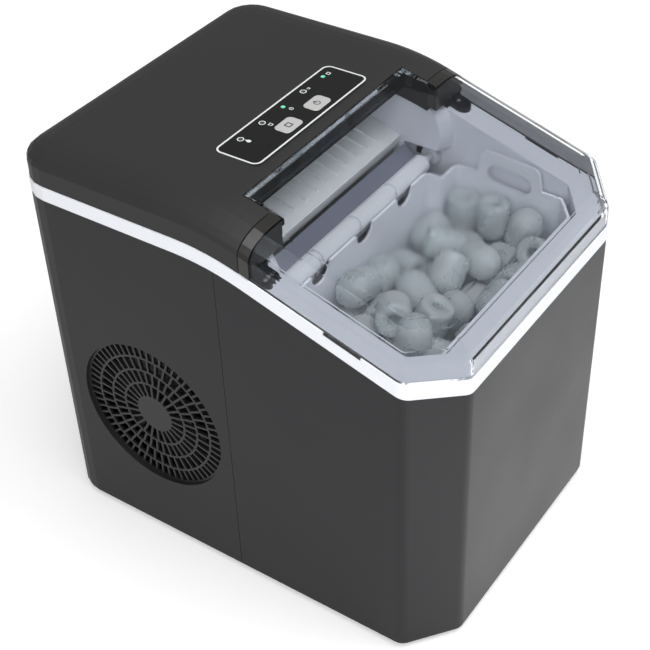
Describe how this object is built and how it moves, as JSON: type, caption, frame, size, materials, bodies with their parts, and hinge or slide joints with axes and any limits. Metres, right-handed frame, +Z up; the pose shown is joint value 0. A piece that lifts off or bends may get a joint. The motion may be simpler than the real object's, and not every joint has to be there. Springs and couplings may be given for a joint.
{
  "type": "ice maker",
  "caption": "Countertop ice maker with chamfered front corners, a white trim band, a clear sloping hinged lid over a lift-out ice basket, round side vents and a top control panel.",
  "frame": {"origin": "centre of the footprint, on the plane the rubber feet stand on", "axes": "+Z up, +Y towards the rear, +X to the right seen from the front; the front face, below the lid, looks along -Y"},
  "size_m": [0.222, 0.2846, 0.27],
  "materials": {
    "shell": "satin charcoal",
    "cover": "satin charcoal",
    "trim": "gloss white",
    "clear": "clear smoke plastic",
    "hinge_black": "gloss black",
    "bracket_black": "black",
    "liner": "light grey",
    "basket": "pale translucent grey",
    "ice": "cloudy ice",
    "paddle": "white",
    "button": "silver grey",
    "lamp": "mint green lens",
    "grille": "charcoal",
    "black_plastic": "black",
    "rubber": "black",
    "steel": "brushed",
    "painted_steel": "black enamel",
    "fins": "plain",
    "copper": "bare copper",
    "board": "green circuit board",
    "silicone": "pale silicone"
  },
  "bodies": {
    "root": {"base_tray": "black_plastic", "feet": "rubber", "front_housing": "shell", "rear_housing": "shell", "trim_band": "trim", "top_cover": "cover", "vent_grille_left": "grille", "vent_grille_right": "grille", "cord_inlet": "black_plastic", "liner": "liner", "evaporator_hood": "liner", "evaporator": "steel", "tray_motor": "paddle", "water_pump": "black_plastic", "water_hose": "silicone", "ice_sensors": "black_plastic", "hinge_pins": "steel", "hinge_bracket_left": "bracket_black", "hinge_bracket_right": "bracket_black", "lamp_lenses": "lamp", "control_board": "board", "compressor": "painted_steel", "compressor_mounts": "rubber", "condenser": "fins", "fan_motor": "steel", "fan_shroud": "black_plastic", "filter_drier": "copper", "discharge_pipe": "copper", "suction_pipe": "copper"},
    "lid": {"lid": "clear", "hinge_arm_left": "hinge_black", "hinge_arm_right": "hinge_black"},
    "basket": {"ice_basket": "basket", "ice_load": "ice"},
    "water_tray": {"water_tray": "liner"},
    "ice_pusher": {"ice_pusher": "paddle"},
    "button_left": {"button_left": "button"},
    "button_right": {"button_right": "button"},
    "fan": {"fan": "black_plastic"},
    "drain_plug": {"drain_plug": "silicone"}
  },
  "joints": [
    {"name": "lid_hinge", "type": "hinge", "parent": "root", "child": "lid", "pos_m": [0, -0.00775, 0.26041], "axis": [-1, 0, 0], "range_deg": [0, 100]},
    {"name": "basket_lift", "type": "slide", "parent": "root", "child": "basket", "axis": [0, 0, 1], "range_m": [0, 0.07]},
    {"name": "tray_tilt", "type": "hinge", "parent": "root", "child": "water_tray", "pos_m": [0, 0.01575, 0.19], "axis": [1, 0, 0], "range_deg": [0, 75]},
    {"name": "pusher_swing", "type": "hinge", "parent": "root", "child": "ice_pusher", "pos_m": [0, -0.01575, 0.2047], "axis": [1, 0, 0], "range_deg": [0, 60]},
    {"name": "button_left_press", "type": "slide", "parent": "root", "child": "button_left", "axis": [0, 0, -1], "range_m": [0, 0.0008], "stiffness_N_per_m": 1500},
    {"name": "button_right_press", "type": "slide", "parent": "root", "child": "button_right", "axis": [0, 0, -1], "range_m": [0, 0.0008], "stiffness_N_per_m": 1500},
    {"name": "fan_spin", "type": "hinge", "parent": "root", "child": "fan", "pos_m": [-0.0945, 0.05975, 0.102], "axis": [1, 0, 0], "continuous": true},
    {"name": "drain_plug_pull", "type": "slide", "parent": "root", "child": "drain_plug", "axis": [1, 0, 0], "range_m": [0, 0.03]}
  ],
  "couplings": [
    {"joint": "basket_lift", "follows": "lid_hinge", "m_per_rad": 0.04}
  ]
}
